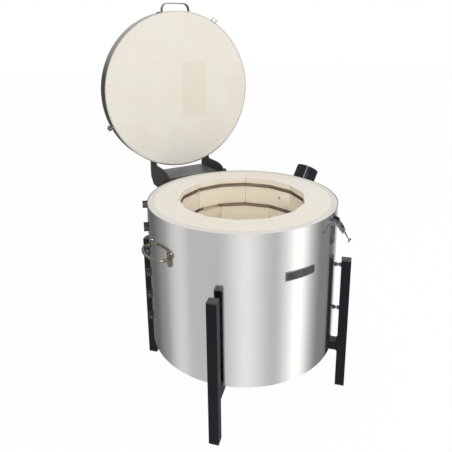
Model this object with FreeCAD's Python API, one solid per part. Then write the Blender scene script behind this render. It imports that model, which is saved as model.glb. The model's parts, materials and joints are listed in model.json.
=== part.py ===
import FreeCAD, Part
import os
from math import cos, pi, radians, sin, sqrt, tan

# Round top-loading electric kiln on four legs, lid open on its stop.
# Millimetres. Origin on the floor under the kiln axis, +Z up, -Y is the front, +Y the hinge side.
# An azimuth is counted from the front towards +X, in degrees.

# Clearances
fit_gap = 0.3            # between pieces that are packed side by side
turn_gap = 0.05          # round a pin that something turns on
press_gap = 0.02         # round a pin that is driven into its hole
swing_gap = 3.0          # between moving and fixed sheet metal

# Jacket and base
jacket_radius = 305.0
jacket_sheet = 1.2
jacket_height = 474.0
ground_clearance = 164.0
pan_sheet = 1.5
pan_rim = 22.0
board_thickness = 56.5
slab_thickness = 76.0

# Jacket seam: pairs of bent tabs drawn together by bolts
seam_azimuth = -113.0
seam_opening = 3.0
seam_flange = 15.0
seam_bolt_count = 6
seam_bolt_pitch = 80.4
seam_bolt_first = 64.0
seam_bolt_radius = 3.0
seam_tab_half = 15.0

# Brick chamber
chamber_sides = 14
backing_thickness = 21.0  # jacket to brick
brick_thickness = 84.0
chamber_turn = -9.9      # azimuth of one corner
brick_joint = 0.6
groove_drop = 18.0
groove_height = 14.0
groove_depth = 14.0
row_count = 4
row_pitch = 76.0

# Heating elements and their leads
coil_radius = 5.5
lead_radius = 2.0
lead_slot = 7.0
lead_layer_inset = 11.0
lead_outlet = 19.0
lead_exit_drop = 38.0    # top two rows come out this far above the lowest row
element_start = [197.6, 172.0, 174.5, 174.5]
element_end = [194.0, 191.0, 188.3, 188.3]
bushing_radius = 5.5
bushing_length = 12.0

# Thermocouple and vent
probe_azimuth = -174.0
probe_drop = 136.0
probe_radius = 4.0
probe_reach = 22.0
probe_head_radius = 8.0
vent_azimuth = 106.5
vent_hole_radius = 5.0
vent_hole_drop = 59.0
vent_lean = 55.0         # degrees above level
vent_radius = 39.8
vent_wall = 2.0
vent_offset = 59.0       # tube axis at rim height stands this far outside the jacket
vent_rise = 19.0         # tube end, along its axis, above that point
vent_seat_depth = 60.0   # the mouth is widened this deep for the duct
vent_seat_step = 1.0
vent_flange_width = 6.0
vent_flange_sheet = 1.5

# Legs
leg_tube = 30.0
leg_wall = 2.0
leg_gap = 19.0
leg_height = 457.5
leg_azimuths = {"front_left": -45.0, "front_right": 45.0, "rear_left": -135.0, "rear_right": 135.0}
weld_radius = 8.0
bar_reach = 60.0          # the short bar under the base, inwards from the jacket
stud_drops = [174.5, 21.5]   # below the top of the leg
stud_radius = 4.0
nut_across = 13.0
nut_height = 6.0
plug_flange = 4.0
plug_depth = 12.0
foot_hole_radius = 5.25

# Side handles
handle_azimuths = {"left": -86.0, "right": 85.0}
handle_drop = 114.0      # below the rim
handle_span = 124.0
handle_bar_radius = 5.0
handle_plate = [20.0, 48.0, 3.0]
rivet_radius = 3.5

# Nameplate, left bare
plate_azimuth = 1.0
plate_width_degrees = 19.6
plate_height = 28.0
plate_drop = 135.5
plate_sheet = 0.8
plate_bond = 0.25        # adhesive under the plate

# Lid
lid_gap = 0.5
lid_thickness = 58.0
lid_inset = 5.0          # lid band inside the jacket
lid_sheet = 1.2
lid_face_inset = 5.0
lid_face_step = 3.0
band_azimuth = -114.0
band_opening = 6.0
band_flange = 18.0
band_flange_height = 30.0
band_bolt_radius = 3.0
lid_handle_span = 113.0
lid_handle_reach = 29.0
lid_handle_strap = 3.0
lid_handle_width = 15.0
lid_handle_corner = 24.0

# Hinge
pivot_behind = 71.0      # pin axis behind the jacket
pivot_below = 74.0       # pin axis below the rim
pin_radius = 8.0
pin_end = 131.0
ear_half_span = 116.0
ear_sheet = 4.0
web_above_pivot = 50.0
web_forward = 54.0
web_scoop = 12.0         # the web's front edge is hollowed, to swing clear of the jacket
boss_radius = 16.0
tie_rod_radius = 4.0
tie_rod_forward = 26.0
tie_rod_height = 56.5
arm_width = 22.0
arm_length = 220.0
arm_rib = 17.0
lug_sheet = 4.0
lug_foot_angle = 7.0     # degrees of jacket that a lug's foot covers

# Latch
latch_azimuth = 30.0
latch_width = 30.0
latch_height = 92.0
latch_top_drop = 6.0
latch_cheek_span = 26.0
latch_pivot_out = 9.0
latch_pivot_drop = 22.0
latch_sheet = 2.0
latch_pin_radius = 2.0
lever_length = 42.0
lever_angle = 38.0       # open lever, outwards from hanging straight down
hook_pin_radius = 1.6
hook_along = 20.0        # hook pin, along the lever
hook_offset = 3.0
hook_length = 48.0
hook_angle = 34.0
hook_wire_radius = 2.25
hook_bar = 24.0
catch_out = 4.0          # cross bar when latched, outside the jacket

# Terminal box
box_left = -110.0
box_right = 70.0
box_depth = 61.0
box_bottom = 300.0
box_top = 488.0
box_sheet = 1.5
cover_rim = 9.0
gland_radius = 9.0
gland_bore = 6.5
gland_length = 24.0

# Worked out from the dimensions above
jacket_inner = jacket_radius - jacket_sheet
lining_radius = jacket_inner - fit_gap
rim_z = ground_clearance + jacket_height
slab_z = ground_clearance + pan_sheet + board_thickness
floor_z = slab_z + slab_thickness
side_angle = 360.0 / chamber_sides
brick_back_radius = jacket_radius - backing_thickness
chamber_flat_radius = brick_back_radius - brick_thickness
lead_layer_radius = jacket_radius - lead_layer_inset
lead_end_radius = jacket_radius + lead_outlet
groove_flat_radius = chamber_flat_radius + groove_depth
coil_flat_radius = chamber_flat_radius + groove_depth / 2
row_z = [rim_z - groove_drop - groove_height - row * row_pitch for row in range(row_count)]
coil_z = [z + coil_radius + fit_gap for z in row_z]
stud_heights = [leg_height - drop for drop in stud_drops]
leg_inner = jacket_radius + leg_gap
leg_middle = leg_inner + leg_tube / 2
pivot_y = jacket_radius + pivot_behind
pivot_z = rim_z - pivot_below
box_back = jacket_radius + box_depth
lid_radius = jacket_radius - lid_inset
lid_face_radius = lid_radius - lid_face_inset
lid_z = rim_z + lid_gap
lid_top = lid_z + lid_thickness
web_z = pivot_z + web_above_pivot
latch_pivot_z = rim_z - latch_pivot_drop
up = FreeCAD.Vector(0, 0, 1)


def vec(x, y, z=0.0):
    return FreeCAD.Vector(x, y, z)


def polar(radius, azimuth, z=0.0):
    a = radians(azimuth)
    return vec(radius * sin(a), -radius * cos(a), z)


def box(x0, x1, y0, y1, z0, z1):
    return Part.makeBox(x1 - x0, y1 - y0, z1 - z0, vec(x0, y0, z0))


def cylinder(radius, height, base, direction=up):
    return Part.makeCylinder(radius, height, base, direction)


def tube(outer, inner, z0, z1):
    return cylinder(outer, z1 - z0, vec(0, 0, z0)).cut(cylinder(inner, z1 - z0 + 2, vec(0, 0, z0 - 1)))


def turned(shape, azimuth):
    """A shape modelled at the front, moved round the kiln to an azimuth."""
    copy = shape.copy()
    copy.rotate(vec(0, 0, 0), up, azimuth)
    return copy


def opened(shape):
    """A shape modelled on the closed lid, moved to the open lid."""
    copy = shape.copy()
    copy.rotate(vec(0, pivot_y, pivot_z), vec(1, 0, 0), -90)
    return copy


def fused(shapes):
    return shapes[0].multiFuse(shapes[1:]).removeSplitter()


def plate_yz(points, x0, x1):
    """A flat plate, its outline drawn on the YZ plane."""
    ring = [vec(x0, y, z) for y, z in points]
    return Part.Face(Part.makePolygon(ring + ring[:1])).extrude(vec(x1 - x0, 0, 0))


def prism(flat_radius, z0, z1):
    """The chamber's many-sided outline as a solid, by the distance to its flats."""
    reach = flat_radius / cos(radians(side_angle / 2))
    ring = [polar(reach, chamber_turn + side_angle * i, z0) for i in range(chamber_sides)]
    return Part.Face(Part.makePolygon(ring + ring[:1])).extrude(vec(0, 0, z1 - z0))


def hex_prism(across, height, base, direction):
    """A hexagon head or nut."""
    ring = [polar(across / sqrt(3), 60 * i) for i in range(6)]
    head = Part.Face(Part.makePolygon(ring + ring[:1])).extrude(vec(0, 0, height))
    head.Placement = FreeCAD.Placement(base, FreeCAD.Rotation(up, direction))
    return head


def dome(radius, rise, base, direction):
    """A shallow rivet head."""
    head = cylinder(radius, rise, vec(0, 0, 0))
    head = head.makeFillet(0.8 * rise, [e for e in head.Edges if e.BoundBox.ZMin > rise - 0.01])
    head.Placement = FreeCAD.Placement(base, FreeCAD.Rotation(up, direction))
    return head


def bow(half_span, reach, corner_turn, corner_radius, bar_radius):
    """A round bar bent into a bow that stands out towards -Y, its ends on the X axis."""
    a = radians(corner_turn)
    rest = pi / 2 - a
    crown_radius = (half_span - corner_radius * (1 - cos(a))) / sin(rest)
    crown = crown_radius * (1 - cos(rest))
    stub = reach - corner_radius * sin(a) - crown
    edges = []
    ends = {}
    for side in (-1, 1):
        start = vec(side * half_span, 0)
        bend = vec(side * half_span, -stub)
        middle = vec(side * (half_span - corner_radius * (1 - cos(a / 2))), -stub - corner_radius * sin(a / 2))
        end = vec(side * (half_span - corner_radius * (1 - cos(a))), -stub - corner_radius * sin(a))
        edges.append([Part.LineSegment(start, bend).toShape(), Part.Arc(bend, middle, end).toShape()])
        ends[side] = end
    crown_edge = Part.Arc(ends[-1], vec(0, -reach), ends[1]).toShape()
    path = Part.Wire(edges[0] + [crown_edge] + edges[1][::-1])
    profile = Part.Wire(Part.Circle(vec(-half_span, 0), vec(0, -1), bar_radius).toShape())
    return path.makePipeShell([profile], True, False)


def strap(half_span, reach, corner, sheet, width):
    """A flat strap bent into a bow, standing out towards -Y, its ends on the X axis."""
    def outline(inset):
        half = half_span - inset
        top = -(reach - inset)
        bend = corner - inset
        shoulder = top + bend
        k = 1 - cos(pi / 4)
        left, right = vec(-half, 0), vec(half, 0)
        left_up, right_up = vec(-half, shoulder), vec(half, shoulder)
        left_mid, right_mid = vec(-half + bend * k, top + bend * k), vec(half - bend * k, top + bend * k)
        left_in, right_in = vec(-half + bend, top), vec(half - bend, top)
        return Part.Face(Part.Wire([
            Part.LineSegment(left, left_up).toShape(), Part.Arc(left_up, left_mid, left_in).toShape(),
            Part.LineSegment(left_in, right_in).toShape(), Part.Arc(right_in, right_mid, right_up).toShape(),
            Part.LineSegment(right_up, right).toShape(), Part.LineSegment(right, left).toShape()]))
    strip = outline(0).cut(outline(sheet)).extrude(vec(0, 0, width))
    strip.translate(vec(0, 0, -width / 2))
    return strip


# Lower casing and brickwork

def base_pan():
    radius = lining_radius
    pan = cylinder(radius, pan_sheet + pan_rim, vec(0, 0, ground_clearance))
    hollow = cylinder(radius - pan_sheet, pan_rim + 1, vec(0, 0, ground_clearance + pan_sheet))
    return pan.cut(hollow)


def floor_board():
    radius = lining_radius - pan_sheet - fit_gap
    return cylinder(radius, board_thickness, vec(0, 0, ground_clearance + pan_sheet))


def floor_slab():
    return cylinder(lining_radius, slab_thickness, vec(0, 0, slab_z))


def seam_bolt_z():
    return [ground_clearance + seam_bolt_first + i * seam_bolt_pitch for i in range(seam_bolt_count)]


def split_ring(outer, sheet, z0, z1, opening, flange, flange_z0, flange_z1):
    """A sheet ring, open at the front, with its two ends bent out as flanges."""
    ring = tube(outer, outer - sheet, z0, z1)
    ring = ring.cut(box(-opening / 2, opening / 2, -outer - 1, -outer + 4 * sheet, z0 - 1, z1 + 1))
    ends = []
    for side in (-1, 1):
        x0, x1 = sorted([side * opening / 2, side * (opening / 2 + sheet)])
        ends.append(box(x0, x1, -outer - flange, -outer + sheet / 2, flange_z0, flange_z1))
    return fused([ring] + ends)


def jacket():
    shell = split_ring(jacket_radius, jacket_sheet, ground_clearance, rim_z, seam_opening, seam_flange,
                       ground_clearance, rim_z)
    reach = seam_opening + 4 * jacket_sheet
    gap_from = ground_clearance - 1
    for z in seam_bolt_z() + [rim_z + 2 * seam_tab_half]:
        shell = shell.cut(box(-reach, reach, -jacket_radius - seam_flange - 1, -jacket_radius - jacket_sheet,
                              gap_from, z - seam_tab_half))
        gap_from = z + seam_tab_half
    for z in seam_bolt_z():
        start = vec(-reach / 2, -jacket_radius - seam_flange / 2, z)
        shell = shell.cut(cylinder(seam_bolt_radius + fit_gap, reach, start, vec(1, 0, 0)))
    shell = turned(shell, seam_azimuth)
    cuts = [cylinder(vent_hole_radius, 20, polar(jacket_inner - 5, vent_azimuth, rim_z - vent_hole_drop),
                     polar(1, vent_azimuth))]
    for azimuth in leg_azimuths.values():
        for z in stud_heights:
            cuts.append(cylinder(stud_radius + fit_gap, 10, polar(jacket_inner - 5, azimuth, z), polar(1, azimuth)))
    for azimuth, z in lead_exits():
        cuts.append(cylinder(bushing_radius + press_gap, 20, polar(jacket_inner - 8, azimuth, z),
                             polar(1, azimuth)))
    return shell.cut(Part.makeCompound(cuts))


def hex_bolts_across(radius, grip, positions, azimuth):
    """Bolts and nuts that lie across a pair of flanges, modelled at the front and turned."""
    across = 3.4 * radius
    pieces = []
    for y, z in positions:
        head = hex_prism(across, 1.4 * radius, vec(-grip / 2 - 1.4 * radius, y, z), vec(1, 0, 0))
        shank = cylinder(radius, grip + 3 * radius, vec(-grip / 2, y, z), vec(1, 0, 0))
        pieces.append(turned(head.fuse(shank), azimuth))
        nut = hex_prism(across, 1.6 * radius, vec(grip / 2, y, z), vec(1, 0, 0))
        hole = cylinder(radius + press_gap, 4 * radius, vec(grip / 2 - radius, y, z), vec(1, 0, 0))
        pieces.append(turned(nut.cut(hole), azimuth))
    return Part.makeCompound(pieces)


def seam_bolts():
    y = -jacket_radius - seam_flange / 2
    grip = seam_opening + 2 * jacket_sheet
    return hex_bolts_across(seam_bolt_radius, grip, [(y, z) for z in seam_bolt_z()], seam_azimuth)


def lead_exits():
    """Where the element leads come out of the jacket: azimuth and height."""
    exits = []
    for row in range(row_count):
        low = coil_z[-1] + lead_exit_drop
        z = coil_z[row] if row >= row_count - 2 else low
        exits += [(element_start[row], z), (element_end[row], z)]
    return exits


def lead_tunnels(through_bricks):
    """The room that the leads need in the bricks, or in the layer behind them."""
    cuts = []
    for index, (azimuth, z_exit) in enumerate(lead_exits()):
        z = coil_z[index // 2]
        out = polar(1, azimuth)
        if through_bricks:
            cuts.append(cylinder(lead_slot / 2, brick_back_radius - chamber_flat_radius,
                                 polar(chamber_flat_radius + groove_depth / 2, azimuth, z), out))
            continue
        cuts.append(cylinder(lead_slot / 2, lead_layer_radius - brick_back_radius + 6,
                             polar(brick_back_radius - 3, azimuth, z), out))
        cuts.append(cylinder(bushing_radius + press_gap, 30, polar(lead_layer_radius - 1, azimuth, z_exit), out))
        if z - z_exit > 1:
            slot = box(-lead_slot / 2, lead_slot / 2, -lead_layer_radius - lead_slot / 2,
                       -lead_layer_radius + lead_slot / 2, z_exit - lead_slot / 2, z + lead_slot / 2)
            cuts.append(turned(slot, azimuth))
    return Part.makeCompound(cuts)


def probe_parts(extra):
    """The thermocouple's sheath and head, or with extra the room for them."""
    z = rim_z - probe_drop
    out = polar(1, probe_azimuth)
    inner = chamber_flat_radius - probe_reach
    sheath = cylinder(probe_radius + extra, brick_back_radius + 4 - inner, polar(inner, probe_azimuth, z), out)
    head_start = brick_back_radius + 3 - extra
    head = cylinder(probe_head_radius + extra, jacket_inner - 2 - head_start + extra,
                    polar(head_start, probe_azimuth, z), out)
    return sheath, head


def thermocouple():
    return fused(list(probe_parts(0)))


def wall_course(row):
    top = rim_z if row == 0 else row_z[row] + groove_height
    bottom = floor_z if row == row_count - 1 else row_z[row + 1] + groove_height
    ring = cylinder(brick_back_radius, top - bottom, vec(0, 0, bottom))
    ring = ring.cut(prism(chamber_flat_radius, bottom - 1, top + 1))
    ring = ring.cut(prism(groove_flat_radius, row_z[row], row_z[row] + groove_height))
    cuts = [lead_tunnels(True), probe_parts(fit_gap)[0]]
    cuts.append(cylinder(vent_hole_radius, brick_back_radius, polar(chamber_flat_radius / 2, vent_azimuth,
                                                                    rim_z - vent_hole_drop),
                         polar(1, vent_azimuth)))
    first = chamber_turn + side_angle * (row % 2)
    for i in range(chamber_sides // 2):
        joint = box(-brick_joint / 2, brick_joint / 2, -brick_back_radius - 1, -chamber_flat_radius / 2,
                    bottom - 1, top + 1)
        cuts.append(turned(joint, first + 2 * side_angle * i))
    for cut in cuts:
        ring = ring.cut(cut)
    return ring


def backup_insulation():
    ring = tube(lining_radius, brick_back_radius + fit_gap, floor_z, rim_z)
    rim_edges = [e for e in ring.Edges if e.BoundBox.ZMin > rim_z - 0.1 and e.BoundBox.XMax > lining_radius - 1]
    ring = ring.makeFillet(4.0, rim_edges)
    ring = ring.cut(lead_tunnels(False)).cut(fused(list(probe_parts(fit_gap))))
    vent = cylinder(vent_hole_radius, 60, polar(brick_back_radius - 10, vent_azimuth, rim_z - vent_hole_drop),
                    polar(1, vent_azimuth))
    return ring.cut(vent)


def heating_element(row):
    """One row: the coil as a plain rod round the groove, with a lead out at each end."""
    z = coil_z[row]
    reach = coil_flat_radius / cos(radians(side_angle / 2))
    start, end = element_start[row], element_end[row]
    corners = [chamber_turn + side_angle * i for i in range(-chamber_sides, 2 * chamber_sides)]

    def on_path(azimuth):
        flat = round((azimuth - chamber_turn) / side_angle - 0.5) + 0.5
        off = radians(azimuth - chamber_turn - flat * side_angle)
        return polar(coil_flat_radius / cos(off), azimuth, z)

    if row == 0:
        run = [on_path(start)] + [polar(reach, c, z) for c in sorted(corners) if start < c < end + 360]
        run.append(on_path(end + 360))
        coil_points = run
    else:
        inside = [c for c in sorted(corners) if end + 0.1 < c < start + 360 - 0.1]
        coil_points = [polar(reach, c, z) for c in inside]
    first_out = end if row else start
    last_out = start if row else end
    pieces = [rod_along(coil_points, coil_radius, 8)]
    for azimuth, coil_end in ((first_out, coil_points[0]), (last_out, coil_points[-1])):
        z_exit = z if row >= row_count - 2 else coil_z[-1] + lead_exit_drop
        lead = [coil_end, on_path(azimuth), polar(lead_layer_radius, azimuth, z)]
        if row < row_count - 2:
            lead.append(polar(lead_layer_radius, azimuth, z_exit))
        lead.append(polar(lead_end_radius, azimuth, z_exit))
        lead = [p for i, p in enumerate(lead) if i == 0 or (p - lead[i - 1]).Length > 1]
        pieces.append(rod_along(lead, lead_radius, 6))
    return fused(pieces)


def rod_along(points, radius, faces):
    """A rod with a many-sided section, mitred where its path turns."""
    path = Part.makePolygon(points)
    along = (points[1] - points[0]).normalize()
    ring = [polar(radius, 360.0 * (i + 0.5) / faces) for i in range(faces)]
    profile = Part.makePolygon(ring + ring[:1])
    profile.Placement = FreeCAD.Placement(points[0], FreeCAD.Rotation(up, along))
    return path.makePipeShell([profile], True, False, 1)


def lead_bushings():
    pieces = []
    for azimuth, z in lead_exits():
        out = polar(1, azimuth)
        start = polar(lead_layer_radius + lead_slot / 2 + fit_gap, azimuth, z)
        body = cylinder(bushing_radius, jacket_radius + bushing_length - lead_layer_radius - lead_slot / 2, start, out)
        hole = cylinder(lead_radius + 4 * press_gap, 60, polar(lead_layer_radius, azimuth, z), out)
        pieces.append(body.cut(hole))
    return Part.makeCompound(pieces)


# Legs

def leg():
    """One leg weldment, at the front: post, short bar that carries the base and weld fillets."""
    half = leg_tube / 2
    outer = -leg_inner - leg_tube
    post_bottom, post_top = plug_flange, leg_height - plug_flange
    post = box(-half, half, outer, -leg_inner, post_bottom, post_top)
    bore = box(-half + leg_wall, half - leg_wall, outer + leg_wall, -leg_inner - leg_wall,
               post_bottom - 1, post_top + 1)
    bar_top = ground_clearance
    bar_bottom = bar_top - leg_tube
    bar = box(-half, half, -leg_inner - leg_wall, -jacket_radius + bar_reach, bar_bottom, bar_top)
    bar_bore = box(-half + leg_wall, half - leg_wall, -leg_inner, -jacket_radius + bar_reach - leg_wall,
                   bar_bottom + leg_wall, bar_top - leg_wall)
    fillets = [weld_fillet(-leg_inner, z, rise) for z, rise in ((bar_top, 1), (bar_bottom, -1))]
    body = fused([post.cut(bore), bar.cut(bar_bore)] + fillets)
    for z in stud_heights:
        body = body.cut(cylinder(stud_radius + fit_gap, leg_wall + 2, vec(0, -leg_inner + 1, z), vec(0, -1, 0)))
    return body


def weld_fillet(y, z, rise):
    """A concave fillet in the corner at (y, z), on the bar's upper side or its lower one."""
    r = weld_radius
    k = r * (1 - cos(pi / 4))
    half = leg_tube / 2 - 1
    a = vec(-half, y + r, z)
    b = vec(-half, y, z + rise * r)
    middle = vec(-half, y + k, z + rise * k)
    corner = vec(-half, y - 0.5, z - rise * 0.5)
    a_in = vec(-half, y + r, z - rise * 0.5)
    b_in = vec(-half, y - 0.5, z + rise * r)
    wire = Part.Wire([Part.Arc(a, middle, b).toShape(), Part.makePolygon([b, b_in, corner, a_in, a])])
    return Part.Face(wire).extrude(vec(2 * half, 0, 0))


def leg_plug(foot):
    """A square plastic plug at the front leg, with a bolt hole in a foot."""
    half = leg_tube / 2
    inside = half - leg_wall - fit_gap
    y = -leg_middle
    flange_z = 0 if foot else leg_height - plug_flange
    core_z = plug_flange if foot else leg_height - plug_flange - plug_depth
    plug = box(-half, half, y - half, y + half, flange_z, flange_z + plug_flange).fuse(
        box(-inside, inside, y - inside, y + inside, core_z, core_z + plug_depth)).removeSplitter()
    if foot:
        plug = plug.cut(cylinder(foot_hole_radius, 3 * plug_depth, vec(0, y, -1)))
    return plug


def studs():
    """Studs that hold each post off the jacket, with a nut at each end."""
    rods, nuts = [], []
    for azimuth in leg_azimuths.values():
        for z in stud_heights:
            rods.append(turned(cylinder(stud_radius, leg_gap + leg_wall + 6 + jacket_sheet, vec(0, -jacket_inner, z),
                                        vec(0, -1, 0)), azimuth))
            for y in (-jacket_radius - press_gap, -leg_inner + nut_height + press_gap):
                nut = hex_prism(nut_across, nut_height, vec(0, y, z), vec(0, -1, 0))
                hole = cylinder(stud_radius + press_gap, 3 * nut_height, vec(0, y + nut_height, z), vec(0, -1, 0))
                nuts.append(turned(nut.cut(hole), azimuth))
    return Part.makeCompound(rods), Part.makeCompound(nuts)


# Handles, nameplate and vent

def side_handle():
    """A bow of round bar on two riveted plates, at the front."""
    width, height, sheet = handle_plate
    half = handle_span / 2
    z = rim_z - handle_drop
    tilt = handle_tilt()
    plates = []
    for side in (-1, 1):
        plate = box(-width / 2, width / 2, -jacket_radius - sheet - press_gap, -jacket_radius - press_gap,
                    z - height / 2, z + height / 2)
        plate = plate.makeFillet(width / 2 - 1, [e for e in plate.Edges if is_along_y(e)])
        plates.append(turned(plate, side * tilt))
    chord = jacket_radius * cos(radians(tilt)) + sheet / 2
    bar = bow(half, 44.0, 60, 24, handle_bar_radius)
    bar.translate(vec(0, -chord, z))
    return fused(plates + [bar])


def handle_tilt():
    """How far round the jacket each plate stands from the handle's middle."""
    return 180 / pi * (handle_span / 2) / jacket_radius


def is_along_y(edge):
    b = edge.BoundBox
    return b.YLength > 0.5 and b.XLength < 0.01 and b.ZLength < 0.01


def handle_rivets():
    width, height, sheet = handle_plate
    pieces = []
    for azimuth in handle_azimuths.values():
        for side in (-1, 1):
            for up_or_down in (-1, 1):
                z = rim_z - handle_drop + up_or_down * (height / 2 - 8)
                at = azimuth + side * handle_tilt()
                pieces.append(dome(rivet_radius, 2.0, polar(jacket_radius + sheet + press_gap, at, z), polar(1, at)))
    return Part.makeCompound(pieces)


def nameplate():
    z = rim_z - plate_drop - plate_height / 2
    inside = jacket_radius + plate_bond
    ring = tube(inside + plate_sheet, inside, z, z + plate_height)
    half = plate_width_degrees / 2
    return ring.common(wedge(plate_azimuth - half, plate_azimuth + half, z - 1, z + plate_height + 1))


def wedge(azimuth_from, azimuth_to, z0, z1):
    """A slice of space between two azimuths, for cutting rings."""
    reach = 2 * jacket_radius
    middle = (azimuth_from + azimuth_to) / 2
    points = [vec(0, 0, z0), polar(reach, azimuth_from, z0), polar(reach, middle, z0), polar(reach, azimuth_to, z0)]
    return Part.Face(Part.makePolygon(points + points[:1])).extrude(vec(0, 0, z1 - z0))


def vent_axis():
    """A point on the vent tube's axis at rim height, and the axis."""
    lean = radians(vent_lean)
    axis = polar(cos(lean), vent_azimuth, sin(lean))
    return polar(jacket_radius + vent_offset, vent_azimuth, rim_z), axis


def vent_tube():
    point, axis = vent_axis()
    end = point + axis * vent_rise
    length = vent_rise + vent_offset / cos(radians(vent_lean)) + 3 * vent_radius
    outer = cylinder(vent_radius, length, end, axis * -1)
    seat = cylinder(vent_radius - vent_wall, vent_seat_depth, end, axis * -1)
    below = cylinder(vent_radius - vent_wall - vent_seat_step, length, end - axis * vent_seat_depth, axis * -1)
    body = outer.cut(seat).cut(below).cut(cylinder(jacket_radius + press_gap, 3 * jacket_height, vec(0, 0, 0)))
    return max(body.Solids, key=lambda solid: solid.CenterOfMass.dot(axis))


def vent_flange():
    """A saddle on the jacket round the foot of the vent tube."""
    point, axis = vent_axis()
    foot = point - axis * (vent_offset / cos(radians(vent_lean)))
    ring = tube(jacket_radius + press_gap + vent_flange_sheet, jacket_radius + press_gap,
                ground_clearance, rim_z - 2)
    around = cylinder(vent_radius + vent_flange_width, 8 * vent_radius, foot - axis * 4 * vent_radius, axis)
    inside = cylinder(vent_radius + press_gap, 8 * vent_radius, foot - axis * 4 * vent_radius, axis)
    near = turned(box(-150, 150, -jacket_radius - 20, -jacket_radius / 2, ground_clearance, rim_z), vent_azimuth)
    plate_edge = handle_azimuths["right"] + handle_tilt() + 90 / pi * handle_plate[0] / jacket_radius
    beside = wedge(vent_azimuth - 60, plate_edge + 0.4, ground_clearance, rim_z)
    return ring.common(around).cut(inside).common(near).cut(beside)


# Terminal box

def box_frame(inset, y1):
    return box(box_left + inset, box_right - inset, jacket_radius / 2, y1, box_bottom + inset, box_top - inset)


def terminal_box():
    walls = box_frame(0, box_back).cut(box_frame(box_sheet, box_back + 1))
    walls = walls.cut(cylinder(jacket_radius + press_gap, 2 * rim_z, vec(0, 0, 0)))
    return walls.cut(cylinder(gland_radius + press_gap, 20, vec(gland_x(), gland_y(), box_bottom - 10)))


def gland_x():
    return (box_left + box_right) / 2


def gland_y():
    return box_back - 22


def terminal_cover():
    edge = box_sheet + fit_gap
    tray = box(box_left - edge, box_right + edge, box_back - cover_rim, box_back + box_sheet,
               box_bottom - edge, box_top + edge)
    room = box(box_left - fit_gap, box_right + fit_gap, box_back - cover_rim - 1, box_back,
               box_bottom - fit_gap, box_top + fit_gap)
    tray = tray.cut(room)
    slots = []
    for column in (-1, 1):
        for i in range(6):
            x = gland_x() + column * 40
            z = box_top - 30 - 9 * i
            slots.append(box(x - 24, x + 24, box_back - 1, box_back + 5, z, z + 3))
    return tray.cut(Part.makeCompound(slots))


def cover_screws():
    pieces = []
    for x in (box_left + 12, box_right - 12):
        for z in (box_bottom + 12, box_top - 12):
            pieces.append(dome(4.0, 2.2, vec(x, box_back + box_sheet, z), vec(0, 1, 0)))
    return Part.makeCompound(pieces)


def terminal_blocks():
    """Ceramic blocks on the floor of the box, a pair of clamp holes in each."""
    pieces = []
    for i in range(4):
        x = gland_x() + (i - 1.5) * 34
        y = box_back - 46
        block = box(x - 14, x + 14, y - 10, y + 10, box_bottom + box_sheet, box_bottom + box_sheet + 24)
        for side in (-1, 1):
            block = block.cut(cylinder(3, 20, vec(x + side * 7, y, box_bottom + box_sheet + 12)))
        pieces.append(block)
    return Part.makeCompound(pieces)


def cable_gland():
    x, y = gland_x(), gland_y()
    body = cylinder(gland_radius, gland_length, vec(x, y, box_bottom - gland_length + 8))
    collar = hex_prism(24, 5, vec(x, y, box_bottom - 5), up)
    nut = hex_prism(24, 4, vec(x, y, box_bottom + box_sheet), up)
    bore = cylinder(gland_bore, gland_length + 2, vec(x, y, box_bottom - gland_length + 7))
    return fused([body, collar, nut]).cut(bore)


# Hinge

def hinge_lug(side):
    """The gusset that carries the hinge pin, its foot on the jacket and the stop that the ear rests on."""
    x0 = ear_half_span + ear_sheet / 2 + swing_gap
    x1 = x0 + lug_sheet
    y, z = pivot_y, pivot_z
    outline = [(jacket_radius - 30, z - 134), (jacket_radius - 30, z - 59), (y - 46, z - 59), (y - 17, z - 4),
               (y - 10, z + 13), (y + 10, z + 13), (y + 20, z - 2), (y + 54, z - 4), (y + 54, z - 16),
               (y + 18, z - 28), (y - 36, z - 134)]
    plate = plate_yz(outline, x0, x1).fuse(cylinder(boss_radius, lug_sheet, vec(x0, y, z), vec(1, 0, 0)))
    stop = box(ear_half_span - ear_sheet / 2 - 0.5, x0 + 1, y + 29, y + 49, z - 5, z - fit_gap)
    turn = 180 - 180 / pi * ((x0 + x1) / 2) / jacket_radius
    foot = tube(jacket_radius + 3, jacket_radius - 1, z - 138, z - 55)
    foot = foot.common(wedge(turn - lug_foot_angle, turn + 1, z - 140, z - 50))
    body = fused([plate, foot, stop]).cut(cylinder(jacket_radius + press_gap, 2 * rim_z, vec(0, 0, 0)))
    body = body.cut(cylinder(pin_radius + press_gap, 20, vec(x0 - 5, y, z), vec(1, 0, 0)))
    return body if side > 0 else body.mirror(vec(0, 0, 0), vec(1, 0, 0))


def lug_bolts():
    pieces = []
    x = ear_half_span + ear_sheet / 2 + swing_gap + lug_sheet / 2
    turn = 180 - 180 / pi * x / jacket_radius - lug_foot_angle * 0.6
    for azimuth in (turn, -turn):
        for drop in (76, 117):
            pieces.append(hex_prism(10, 5, polar(jacket_radius + 3, azimuth, pivot_z - drop), polar(1, azimuth)))
    return Part.makeCompound(pieces)


def hinge_pin():
    return cylinder(pin_radius, 2 * pin_end, vec(-pin_end, pivot_y, pivot_z), vec(1, 0, 0))


def hinge_washers():
    pieces = []
    for side in (-1, 1):
        face = ear_half_span + ear_sheet / 2 + 0.2
        x0 = face if side > 0 else -face - (swing_gap - 0.4)
        ring = cylinder(boss_radius - 3, swing_gap - 0.4, vec(x0, pivot_y, pivot_z), vec(1, 0, 0))
        pieces.append(ring.cut(cylinder(pin_radius + press_gap, 20, vec(x0 - 5, pivot_y, pivot_z), vec(1, 0, 0))))
    return Part.makeCompound(pieces)


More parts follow.
